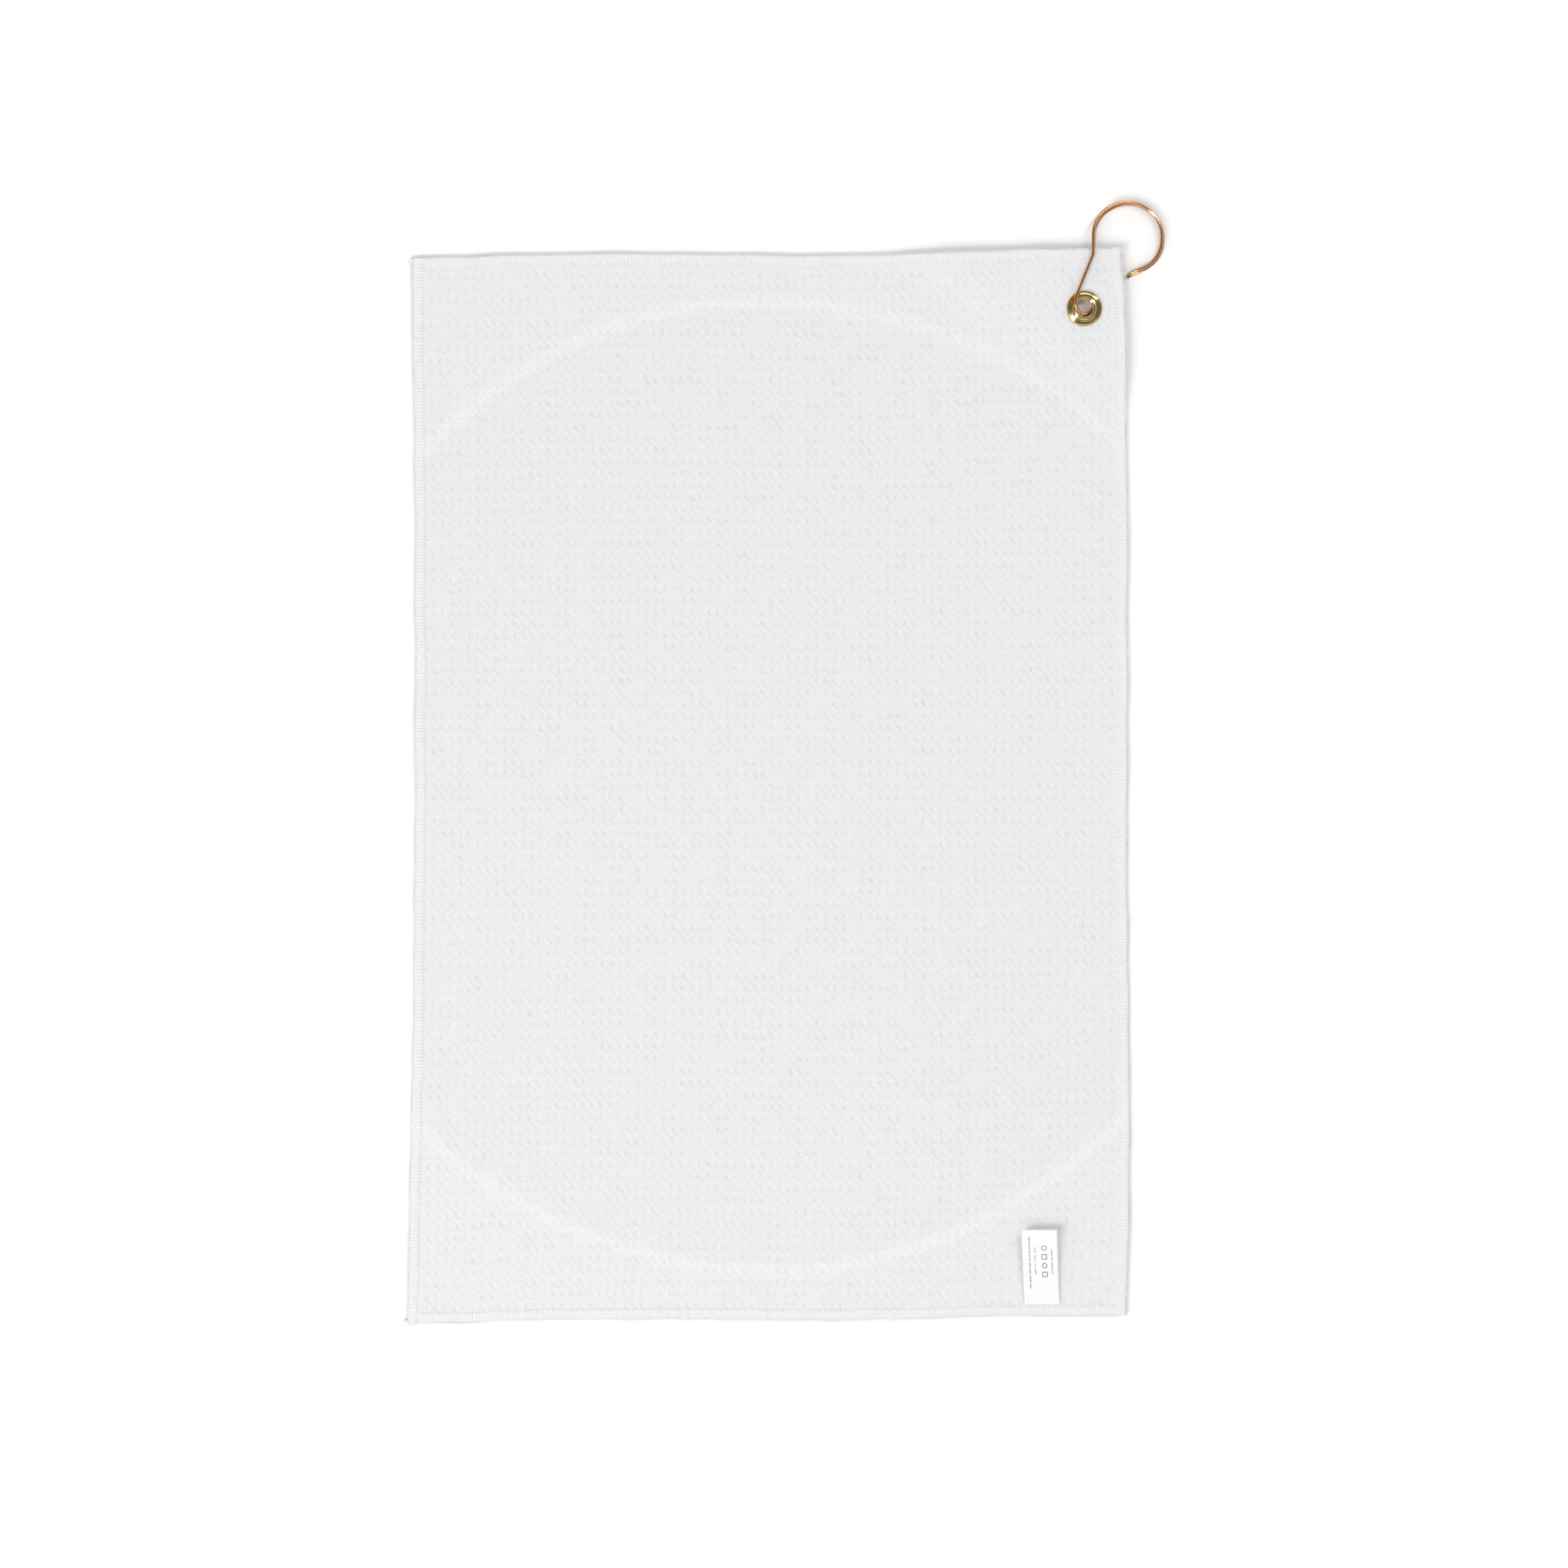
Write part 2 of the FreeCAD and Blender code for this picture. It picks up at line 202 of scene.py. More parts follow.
# waffle cloth: slanted cells in rows, each with a deep slit on one side and a slanting groove under it
cellsAcross = 80
cellsAlong = 91
weave = {
    "cellWide": 2 * halfWide / cellsAcross,     # 5.1 mm
    "cellTall": 2 * halfLong / cellsAlong,      # 6.7 mm
    "perCellX": 3,
    "perCellY": 4,
    "slitLong": 0.42,                   # share of the cell's height that the slit takes
    "slitLean": 0.08,
    "relief": 0.26 * mm,
    "uneven": 0.45,                     # how much the relief varies from place to place
    "unevenSize": 13 * mm,
    "fieldTop": 1.45 * mm,
    "hemTop": 1.8 * mm,
    "hemBottom": 0.5 * mm,
    "pinch": 2.6 * mm,                  # how far in from the needle line the cloth is drawn down
    "needleDip": 0.15 * mm,             # the groove that the needle thread lies in
    "needleReach": 1.2 * mm,
    "holeRadius": 7.4 * mm,
    "squeezeLow": 0.3 * mm,             # the ring that the grommet grips, its two faces
    "squeezeHigh": 1.45 * mm,
    "squeezeReach": (0.3 * mm, 3.5 * mm),   # past the grommet's rim, squeezed flat and then free
    "foldReach": 3.0 * mm,
    "foldRows": 8,
}


def cellHeight(x, y):
    down = (-y / weave["cellTall"]) % 1.0
    slit = min(down / weave["slitLong"], 1.0) * weave["slitLean"]
    slant = max((down - weave["slitLong"]) / (1 - weave["slitLong"]), 0.0) * (1 - weave["slitLean"])
    across = (x / weave["cellWide"] - slit - slant) % 1.0
    ridge = 0.5 - 0.5 * math.cos(2 * math.pi * across)
    depth = 0.65 + 0.35 * math.cos(2 * math.pi * (down - 0.35))
    return 1 - (1 - ridge) * depth


def clothLevel(x, y, top):
    fromEdge = min(halfWide - abs(x), halfLong - abs(y)) - seamWide
    fromGrommet = math.hypot(x - grommetCentre.x, y - grommetCentre.y)
    field = smoothStep(0, weave["pinch"], fromEdge)
    free = smoothStep(*weave["squeezeReach"], fromGrommet - grommetRadius)
    if top:
        patch = noise.noise(Vector((x / weave["unevenSize"], y / weave["unevenSize"], 2.1)))
        relief = weave["relief"] * (1 + weave["uneven"] * patch)
        z = weave["fieldTop"] + weave["relief"] - relief * (1 - cellHeight(x, y)) * (0.4 + 0.6 * field)
        dip = weave["needleDip"] if abs(fromEdge) < weave["needleReach"] else 0
        z = z * field + (weave["hemTop"] - dip) * (1 - field)
        return z * free + weave["squeezeHigh"] * (1 - free)
    z = weave["hemBottom"] * (1 - field)
    return z * free + weave["squeezeLow"] * (1 - free)


def clothSide(bm, top):
    # one face of the cloth: a grid with the weave's own spacing, split finer at the fold
    columns = cellsAcross * (weave["perCellX"] if top else 1)
    rows = cellsAlong * (weave["perCellY"] if top else 1)
    made = bmesh.ops.create_grid(bm, x_segments=columns, y_segments=rows, size=1)
    verts = made["verts"]
    bmesh.ops.scale(bm, vec=(halfWide, halfLong, 1), verts=verts)
    if top:
        bmesh.ops.translate(bm, vec=(0, 0, clothThick), verts=verts)
    step = 2 * weave["foldReach"] / weave["foldRows"]
    for row in range(weave["foldRows"] + 1):
        faces = [f for v in verts if v.is_valid for f in v.link_faces]
        near = [f for f in set(faces) if abs(f.calc_center_median().y - foldY) < 4 * weave["foldReach"]]
        geometry = near + list({e for f in near for e in f.edges}) + list({v for f in near for v in f.verts})
        cut = bmesh.ops.bisect_plane(bm, geom=geometry, dist=1e-6, plane_no=(0, 1, 0),
                                     plane_co=(0, foldY - weave["foldReach"] + row * step, 0))
        verts += [item for item in cut["geom_cut"] if isinstance(item, bmesh.types.BMVert)]
    verts = list({v for v in verts if v.is_valid})
    faces = list({f for v in verts for f in v.link_faces})
    centre = Vector((grommetCentre.x, grommetCentre.y))
    holed = [f for f in faces if (f.calc_center_median().xy - centre).length < weave["holeRadius"]]
    bmesh.ops.delete(bm, geom=holed, context="FACES")
    return [v for v in verts if v.is_valid]


def boundaryLoops(bm, verts):
    # edges of one side's outer border, and those round its grommet hole
    chosen = set(verts)
    edges = [e for e in bm.edges if e.is_boundary and e.verts[0] in chosen]
    centre = Vector((grommetCentre.x, grommetCentre.y))
    hole = [e for e in edges if (e.verts[0].co.xy - centre).length < 2 * weave["holeRadius"]]
    return [e for e in edges if e not in set(hole)], hole


def makeCloth(topMaterial, printMaterial):
    bm = bmesh.new()
    topVerts = clothSide(bm, True)
    topFaces = set(bm.faces)
    bottomVerts = clothSide(bm, False)
    bottomFaces = [f for f in bm.faces if f not in topFaces]
    bmesh.ops.reverse_faces(bm, faces=bottomFaces)
    centre = Vector((grommetCentre.x, grommetCentre.y))
    topEdge, topHole = boundaryLoops(bm, topVerts)
    bottomEdge, bottomHole = boundaryLoops(bm, bottomVerts)
    for edge in topHole + bottomHole:
        for v in edge.verts:
            away = (v.co.xy - centre).normalized() * weave["holeRadius"]
            v.co.xy = centre + away
    bmesh.ops.bridge_loops(bm, edges=topEdge + bottomEdge)
    bmesh.ops.bridge_loops(bm, edges=topHole + bottomHole)
    uvLayer = bm.loops.layers.uv.new("weave")
    for face in bm.faces:
        for loop in face.loops:
            co = loop.vert.co
            loop[uvLayer].uv = (co.x / weave["cellWide"], co.y / weave["cellTall"])
    for face in bottomFaces:
        face.material_index = 1
    isTop = set(topVerts)
    for v in bm.verts:
        v.co = onTowel(v.co.x, v.co.y, clothLevel(v.co.x, v.co.y, v in isTop))
    bmesh.ops.recalc_face_normals(bm, faces=bm.faces)
    cloth = addPiece("towelCloth", meshFrom(bm, "towelCloth"), topMaterial)
    cloth.data.materials.append(printMaterial)
    return cloth


# polyester microfibre, woven in waffle cells and brushed: matt white with a soft sheen at a low angle, with
# painted shade in its grooves and between its tufts
clothLook = {
    "light": "F0F0F0",
    # the darker colour below is painted shade, laid in the sunken parts of the cells
    "grooveShade": "E4E3E4",
    "cornerTint": "FAFBFD",
    "bandTint": "FFFFFF",
    "middleTint": "FAFAFA",
    "circleRadius": 277 * mm,           # a plain circle printed on the other side shows through
    "bandWide": 7 * mm,
    "printCorner": "46658C",
    "printBand": "F7F8F8",
    "printMiddle": "C9D3DB",
    "printBlur": 0.6 * mm,              # how soft the print's edges are
    "throughBlur": 3 * mm,              # and how soft they look through the cloth
    "tuft": 0.75 * mm,                  # real fibre ends are finer, drawn coarser so that they show
    "wobble": 0.75,                     # how far the cells stray from their rows, in cells
}


def weaveNodes(tree):
    # the same cells as the mesh has, drawn finer: returns height, colour share and place on the towel
    uv = addNode(tree, "ShaderNodeUVMap", uv_map="weave")
    wobble = addNode(tree, "ShaderNodeTexNoise", {"Vector": uv.outputs["UV"], "Scale": 1.3, "Detail": 3.0})
    centred = addNode(tree, "ShaderNodeVectorMath", {0: wobble.outputs["Color"], 1: (-0.5, -0.5, -0.5)},
                      operation="ADD")
    scaled = addNode(tree, "ShaderNodeVectorMath", {0: centred.outputs[0], "Scale": clothLook["wobble"]},
                     operation="SCALE")
    placed = addNode(tree, "ShaderNodeVectorMath", {0: uv.outputs["UV"], 1: scaled.outputs[0]},
                     operation="ADD")
    parts = addNode(tree, "ShaderNodeSeparateXYZ", {0: placed.outputs[0]})
    flipped = mathNode(tree, "MULTIPLY", parts.outputs["Y"], -1.0)
    down = mathNode(tree, "FRACT", flipped)
    slit = addNode(tree, "ShaderNodeMapRange", {"Value": down, "From Max": weave["slitLong"],
                                                "To Max": weave["slitLean"]})
    slant = addNode(tree, "ShaderNodeMapRange", {"Value": down, "From Min": weave["slitLong"],
                                                 "To Max": 1 - weave["slitLean"]})
    valley = mathNode(tree, "ADD", slit.outputs[0], slant.outputs[0])
    offset = mathNode(tree, "SUBTRACT", parts.outputs["X"], valley)
    across = mathNode(tree, "FRACT", offset)
    ridge = addNode(tree, "ShaderNodeValToRGB", {"Fac": across})
    ridge.color_ramp.interpolation = "B_SPLINE"
    ridgeOut = setRamp(ridge, [(0.0, 0.0), (0.1, 0.25), (0.3, 0.95), (0.6, 1.0), (0.85, 0.8), (1.0, 0.0)])
    depth = addNode(tree, "ShaderNodeValToRGB", {"Fac": down})
    depth.color_ramp.interpolation = "EASE"
    depthOut = setRamp(depth, [(0.0, 0.2), (0.12, 0.8), (0.35, 1.0), (0.52, 0.75), (0.75, 0.35), (1.0, 0.2)])
    low = mathNode(tree, "SUBTRACT", 1.0, ridgeOut)
    sunk = mathNode(tree, "MULTIPLY", low, depthOut)
    # some cells lie open and some are brushed shut
    patches = addNode(tree, "ShaderNodeTexNoise", {"Vector": uv.outputs["UV"], "Scale": 0.5, "Detail": 3.0})
    opening = addNode(tree, "ShaderNodeMapRange", {"Value": patches.outputs["Fac"], "From Min": 0.3,
                                                   "From Max": 0.7, "To Min": 0.25, "To Max": 1.15})
    opened = mathNode(tree, "MULTIPLY", sunk, opening.outputs[0])
    height = mathNode(tree, "SUBTRACT", 1.0, opened)
    # brushed fibre ends stand in small tufts all over the cells
    tuftScale = weave["cellWide"] / clothLook["tuft"]
    tufts = addNode(tree, "ShaderNodeTexVoronoi", {"Vector": placed.outputs[0], "Scale": tuftScale},
                    feature="F1")
    fuzz = addNode(tree, "ShaderNodeTexNoise", {"Vector": placed.outputs[0], "Scale": 1.4 * tuftScale,
                                                "Detail": 3.0, "Roughness": 0.65})
    fibre = mathNode(tree, "SUBTRACT", fuzz.outputs["Fac"], tufts.outputs["Distance"])
    coarse = addNode(tree, "ShaderNodeBump", {"Height": height, "Strength": 0.42, "Distance": 0.4 * mm})
    fine = addNode(tree, "ShaderNodeBump", {"Height": fibre, "Strength": 0.45,
                                            "Distance": 0.3 * mm, "Normal": coarse.outputs["Normal"]})
    size = (weave["cellWide"], weave["cellTall"], 0)
    plan = addNode(tree, "ShaderNodeVectorMath", {0: uv.outputs["UV"], 1: size}, operation="MULTIPLY")
    reach = addNode(tree, "ShaderNodeVectorMath", {0: plan.outputs[0]}, operation="LENGTH")
    return height, fibre, fine.outputs["Normal"], reach.outputs["Value"]


def circleNodes(tree, reach, middle, band, corner, soft):
    # colours by distance from the towel's middle: a disc, a narrow band round it and the corners
    inner = clothLook["circleRadius"] - clothLook["bandWide"] / 2
    outer = clothLook["circleRadius"] + clothLook["bandWide"] / 2
    colour = linear(middle)
    for edge, beyond in ((inner, band), (outer, corner)):
        past = addNode(tree, "ShaderNodeMapRange", {"Value": reach, "From Min": edge - soft,
                                                    "From Max": edge + soft}, interpolation_type="SMOOTHSTEP")
        colour = mixNode(tree, past.outputs[0], colour, linear(beyond))
    return colour


def microfibre(name, printed):
    material, tree = newMaterial(name)
    height, fibre, normal, reach = weaveNodes(tree)
    # the low parts of the cells take the darker colour: painted shade in the grooves
    shade = mixNode(tree, height, linear(clothLook["grooveShade"]), linear(clothLook["light"]))
    colours, blur = ("printMiddle", "printBand", "printCorner"), clothLook["printBlur"]
    if not printed:
        colours, blur = ("middleTint", "bandTint", "cornerTint"), clothLook["throughBlur"]
    tint = circleNodes(tree, reach, *[clothLook[name] for name in colours], blur)
    # darker where the fibre sinks between the tufts: painted shade
    tuftShade = addNode(tree, "ShaderNodeMapRange", {"Value": fibre, "From Min": -0.3, "From Max": 0.3,
                                                  "To Min": 0.94, "To Max": 1.0})
    colour = mixNode(tree, 1.0, shade, tint, blend_type="MULTIPLY")
    tuftShadedColour = mixNode(tree, 1.0, colour, tuftShade.outputs[0], blend_type="MULTIPLY")
    finishMaterial(tree, {"Base Color": tuftShadedColour, "Roughness": 0.95, "Sheen Weight": 0.25,
                          "Sheen Roughness": 0.5, "Specular IOR Level": 0.25, "Normal": normal})
    return material


towelTop = microfibre("polyester microfibre, brushed waffle weave", False)
towelPrint = microfibre("polyester microfibre, dye printed", True)
towelCloth = makeCloth(towelTop, towelPrint)
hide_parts("towel_panel_lower", "towel_panel_upper")
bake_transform(towelCloth)
print("cloth", len(towelCloth.data.polygons), "faces")


# spun polyester thread, slightly hairy: matt and a touch whiter than the cloth
thread = {
    "colour": "F1F1F2",
    # the darker colour below is painted shade, laid where the thread's fuzz sinks
    "shade": "ECECED",
    "looper": 0.42 * mm,            # radius of the fluffy looper thread
    "needle": 0.17 * mm,
    "needleIn": 0.15 * mm,          # from the seam's inner border to the needle line
    "pitch": 1.9 * mm,
    "strand": 0.12 * mm,
    "drift": 0.12,                  # how far a stitch may stray, in mm
    "needleColour": "EEEFF1",
    "chainTurns": 3,
    "chainHeight": 1.1 * mm,
    "chainSpread": 0.55 * mm,
}


def polyesterThread(name, colour):
    material, tree = newMaterial(name)
    place = addNode(tree, "ShaderNodeTexCoord")
    fuzz = addNode(tree, "ShaderNodeTexNoise", {"Vector": place.outputs["Object"], "Detail": 3.0,
                                                "Scale": 1 / (4 * thread["strand"])})
    bump = addNode(tree, "ShaderNodeBump", {"Height": fuzz.outputs["Fac"], "Strength": 0.4,
                                            "Distance": thread["strand"]})
    # colour darkens in the fuzz's low places: painted shade
    shade = mixNode(tree, fuzz.outputs["Fac"], linear(thread["shade"]), linear(colour))
    finishMaterial(tree, {"Base Color": shade, "Roughness": 0.85, "Sheen Weight": 0.2,
                          "Specular IOR Level": 0.3, "Normal": bump.outputs["Normal"]})
    return material


def threadPiece(name, paths, radius, material, roundness):
    # tubes along smooth lines through the given points, as one mesh
    curve = bpy.data.curves.new(name, "CURVE")
    curve.dimensions = "3D"
    curve.bevel_depth = radius
    curve.bevel_resolution = roundness
    curve.use_fill_caps = True
    curve.resolution_u = 1
    for points in paths:
        spline = curve.splines.new("NURBS")
        spline.points.add(len(points) - 1)
        for slot, point in zip(spline.points, points):
            slot.co = (*point, 1)
        spline.order_u = 3
        spline.use_endpoint_u = True
        spline.resolution_u = 1
    shape = bpy.data.objects.new(name + "Path", curve)
    mesh = bpy.data.meshes.new_from_object(shape)
    bpy.data.objects.remove(shape)
    mesh.name = name
    mesh.shade_smooth()
    mesh.materials.clear()
    return addPiece(name, mesh, material)


# one stitch of the overlock, as (share of the pitch, distance in from the edge, height) in mm
overlockStitch = (
    (0.02, -0.15, 1.2), (0.06, 0.35, 1.58), (0.14, 3.0, 1.63), (0.24, 5.5, 1.61),
    (0.34, 6.05, 1.58), (0.44, 5.5, 1.61), (0.52, 3.0, 1.63), (0.60, 0.35, 1.58),
    (0.64, -0.15, 1.2), (0.67, -0.15, 0.7), (0.70, 0.4, 0.42), (0.76, 4.0, 0.40),
    (0.82, 5.8, 0.40), (0.88, 4.0, 0.40), (0.94, 0.4, 0.42), (0.98, -0.15, 0.7),
)


def seamPlaces(start, along, inward, length, draws):
    # looper thread of one edge, from its start corner, and the needle thread beside it
    count = round(length / thread["pitch"])
    pitch = length / count
    looper = []
    needle = []
    for stitch in range(count):
        drift = draws.uniform(-thread["drift"], thread["drift"])
        for share, inset, z in overlockStitch:
            ahead = along * (pitch * (stitch + share + 0.06 * drift))
            place = start + ahead + inward * (inset + (drift if inset > 5 else 0)) * mm
            looper.append(onTowel(place.x, place.y, z * mm))
        for share, z in ((0.05, 1.15), (0.25, 1.62), (0.75, 1.62), (0.95, 1.15)):
            place = start + along * (pitch * (stitch + share)) + inward * (seamWide + thread["needleIn"])
            needle.append(onTowel(place.x, place.y, z * mm))
    return looper, needle


def chainTail(corner, outward, reach):
    # the end of the thread chain, twisted on itself past the corner
    points = []
    turns = thread["chainTurns"]
    root = onTowel(corner.x, corner.y, thread["chainHeight"])
    for step in range(turns * 8 + 1):
        share = step / (turns * 8)
        angle = share * turns * 2 * math.pi
        spread = thread["chainSpread"] * (1 - 0.5 * share)
        twist = Vector((outward * reach * share, spread * math.cos(angle), 0.8 * spread * math.sin(angle)))
        points.append(root + twist)
    return points


looperMaterial = polyesterThread("spun polyester, overlock thread", thread["colour"])
needleMaterial = polyesterThread("spun polyester, needle thread", thread["needleColour"])
seams = {
    "Left": ((-halfWide, -halfLong), (0, 1), (1, 0), 2 * halfLong),
    "Right": ((halfWide, halfLong), (0, -1), (-1, 0), 2 * halfLong),
    "Top": ((-halfWide + seamWide, halfLong), (1, 0), (0, -1), 2 * (halfWide - seamWide)),
    "Bottom": ((halfWide - seamWide, -halfLong), (-1, 0), (0, 1), 2 * (halfWide - seamWide)),
}
tails = {
    "Left": [(Vector((-halfWide, halfLong - 1.5 * mm)), -1, 1.7 * mm),
             (Vector((-halfWide, -halfLong + 1.5 * mm)), -1, 2.8 * mm)],
    "Right": [(Vector((halfWide, halfLong - 1.5 * mm)), 1, 0.9 * mm)],
}
for side, (start, along, inward, length) in seams.items():
    looper, needle = seamPlaces(Vector(start), Vector(along), Vector(inward), length, random.Random(side))
    paths = [looper] + [chainTail(*tail) for tail in tails.get(side, [])]
    overlock = threadPiece("overlock" + side, paths, thread["looper"], looperMaterial, 1)
    stitches = threadPiece("needleThread" + side, [needle], thread["needle"], needleMaterial, 0)
    for piece, node, slot in ((overlock, "overlock_", "overlock_thread"),
                              (stitches, "needle_thread_", "needle_thread")):
        name = node + side.lower()
        if side in ("Left", "Right"):
            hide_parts(name + "_lower", name + "_upper")
            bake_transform(piece)
        else:
            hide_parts(name)
            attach(piece, "towel_upper" if side == "Top" else "towel_lower")
    print("seam", side, len(overlock.data.polygons), "faces")


# care label: white satin tape, sewn in by one end and curling up
label = {
    "wide": 20.4 * mm,
    "long": 42.4 * mm,
    "tuck": 4.0 * mm,
    "sewn": 1.2 * mm,                   # the cloth is drawn up a little here, and the label with it
    "lean": math.radians(2.4),
    "rise": 4.5 * mm,
    "thick": 0.22 * mm,
    "crown": 0.35 * mm,
    "tucked": 1.2 * mm,                 # height of the end inside the seam
    "seat": 0.1 * mm,                   # how far the tape sinks into the seam where it comes out
    "comesOut": (-1.0 * mm, 0.6 * mm),  # where it comes out, along the tape from the needle line
    "stiff": 4 * mm,                    # the seam holds the tape flat this far
    "ripple": 0.12 * mm,
    "rippleLong": 6 * mm,
    "columns": 16,
    "rows": 44,
    "colour": "F5F6F8",
    "ink": "3C3E46",
    "inkCover": 0.62,                   # share of a line that its print covers
    # lines of print: centre across the tape, half width, first and last place along it, as shares
    "lines": ((0.2, 0.02, 0.2, 0.91), (0.35, 0.017, 0.39, 0.78), (0.82, 0.018, 0.39, 0.74)),
    "markReach": 1.3 * mm,              # from a mark's middle to its line
    "markLine": 0.2 * mm,
    "yarn": 0.3 * mm,                   # real satin yarn is about 0.1 mm, drawn coarser so that it shows
}


def satinTape(name, printed):
    # warp-faced polyester satin: smooth, bright along its length, finely ribbed across it
    material, tree = newMaterial(name)
    uv = addNode(tree, "ShaderNodeUVMap", uv_map="tape")
    yarnScale = label["wide"] / label["yarn"] / 2
    yarns = addNode(tree, "ShaderNodeTexWave", {"Vector": uv.outputs["UV"], "Scale": yarnScale,
                                                "Distortion": 0.4, "Detail": 1.0}, bands_direction="X")
    bump = addNode(tree, "ShaderNodeBump", {"Height": yarns.outputs["Fac"], "Strength": 0.25,
                                            "Distance": 0.05 * mm})
    colour = inkNodes(tree, uv) if printed else linear(label["colour"])
    finishMaterial(tree, {"Base Color": colour, "Roughness": 0.42, "Sheen Weight": 0.15,
                          "Specular IOR Level": 0.5, "Normal": bump.outputs["Normal"]})
    return material


def inkNodes(tree, uv):
    # plain broken bars stand for the lines of print, and two rings and two squares for the marks beside them
    parts = addNode(tree, "ShaderNodeSeparateXYZ", {0: uv.outputs["UV"]})
    stretch = addNode(tree, "ShaderNodeMapping", {"Vector": uv.outputs["UV"], "Scale": (5.0, 64.0, 1.0)})
    words = addNode(tree, "ShaderNodeTexNoise", {"Vector": stretch.outputs[0], "Scale": 1.0, "Detail": 1.0})
    gaps = mathNode(tree, "GREATER_THAN", words.outputs["Fac"], 0.45)
    ink = 0.0
    for centre, width, low, high in label["lines"]:
        across = mathNode(tree, "COMPARE", parts.outputs["X"], centre, width)
        along = mathNode(tree, "COMPARE", parts.outputs["Y"], (low + high) / 2, (high - low) / 2)
        bar = mathNode(tree, "MULTIPLY", across, along)
        thin = mathNode(tree, "MULTIPLY", bar, label["inkCover"])
        ink = mathNode(tree, "MULTIPLY_ADD", thin, gaps, ink)
    for row in range(4):
        middle = (0.61, 0.39 + 0.12 * row, 0)
        toMark = addNode(tree, "ShaderNodeVectorMath", {0: uv.outputs["UV"], 1: middle}, operation="SUBTRACT")
        size = (label["wide"], label["long"], 0)
        sized = addNode(tree, "ShaderNodeVectorMath", {0: toMark.outputs[0], 1: size}, operation="MULTIPLY")
        if row % 2:
            radius = addNode(tree, "ShaderNodeVectorMath", {0: sized.outputs[0]}, operation="LENGTH")
            reach = radius.outputs["Value"]
        else:
            folded = addNode(tree, "ShaderNodeVectorMath", {0: sized.outputs[0]}, operation="ABSOLUTE")
            sides = addNode(tree, "ShaderNodeSeparateXYZ", {0: folded.outputs[0]})
            reach = mathNode(tree, "MAXIMUM", sides.outputs["X"], sides.outputs["Y"])
        mark = mathNode(tree, "COMPARE", reach, label["markReach"], label["markLine"])
        ink = mathNode(tree, "MAXIMUM", ink, mark)
    colour = mixNode(tree, ink, linear(label["colour"]), linear(label["ink"]))
    return colour


def makeLabel():
    bm = bmesh.new()
    bmesh.ops.create_grid(bm, x_segments=label["columns"], y_segments=label["rows"], size=1)
    whole = label["long"] + label["tuck"]
    uvLayer = bm.loops.layers.uv.new("tape")
    for face in bm.faces:
        for loop in face.loops:
            across = (loop.vert.co.x + 1) / 2
            along = ((loop.vert.co.y + 1) / 2 * whole - label["tuck"]) / label["long"]
            loop[uvLayer].uv = (across, along)
    curl = (label["long"] ** 2 + label["rise"] ** 2) / (2 * label["rise"])
    for v in bm.verts:
        across = v.co.x
        along = (v.co.y + 1) / 2 * whole - label["tuck"]
        lifted = labelRoot.z - label["seat"] + max(along, 0.0) ** 2 / (2 * curl)
        out = smoothStep(*label["comesOut"], along)
        z = label["tucked"] * (1 - out) + lifted * out
        free = smoothStep(label["stiff"], label["long"], along)
        z += label["crown"] * (across * across - 0.5) * free
        z += label["ripple"] * math.sin(along / label["rippleLong"] + across) * free
        x = labelRoot.x + across * label["wide"] / 2 - max(along, 0.0) * math.tan(label["lean"])
        v.co = (x, labelRoot.y + label["sewn"] + along, z)
    bmesh.ops.solidify(bm, geom=bm.faces[:], thickness=label["thick"])
    bmesh.ops.recalc_face_normals(bm, faces=bm.faces)
    for face in bm.faces:
        face.material_index = 1 if face.normal.z < 0.5 else 0
    tape = addPiece("careLabel", meshFrom(bm, "careLabel"), satinTape("polyester satin tape, printed", True))
    tape.data.materials.append(satinTape("polyester satin tape", False))
    return tape


careLabel = makeLabel()
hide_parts("care_label")
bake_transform(careLabel)
print("label", len(careLabel.data.polygons), "faces")


# grommet: an eyelet drawn from brass sheet, rolled over a neck washer
grommet = {
    "bore": 4.75 * mm,
    "sheet": 0.45 * mm,
    "bead": 1.2 * mm,
    "steps": 120,
    "arcSteps": 14,
    "dent": 0.006 * mm,
    "dentsPerMetre": 350,
    "colour": "E2CB92",
    "worn": "D0B67A",
    "scratch": 0.25 * mm,
}


def arcPlaces(centreR, centreZ, radius, first, last, steps):
    places = []
    for step in range(steps + 1):
        angle = math.radians(first + (last - first) * step / steps)
        places.append((centreR + radius * math.cos(angle), centreZ + radius * math.sin(angle)))
    return places


def domePlaces(start, crown, end, steps):
    # smooth hump through three (radius, height) points
    places = []
    for step in range(steps + 1):
        t = step / steps
        r = start[0] + (end[0] - start[0]) * t
        base = start[1] + (end[1] - start[1]) * t
        middle = (start[1] + end[1]) / 2
        places.append((r, base + (crown - middle) * math.sin(math.pi * t)))
    return places


def slopePlaces(start, end, steps):
    # a slope that is level at its upper end, and at its lower end too when it faces inwards
    places = []
    for step in range(steps + 1):
        t = step / steps
        rise = smoothStep(0, 1, t) if end[1] > start[1] else t ** 1.6
        places.append((start[0] + (end[0] - start[0]) * t, start[1] + (end[1] - start[1]) * rise))
    return places


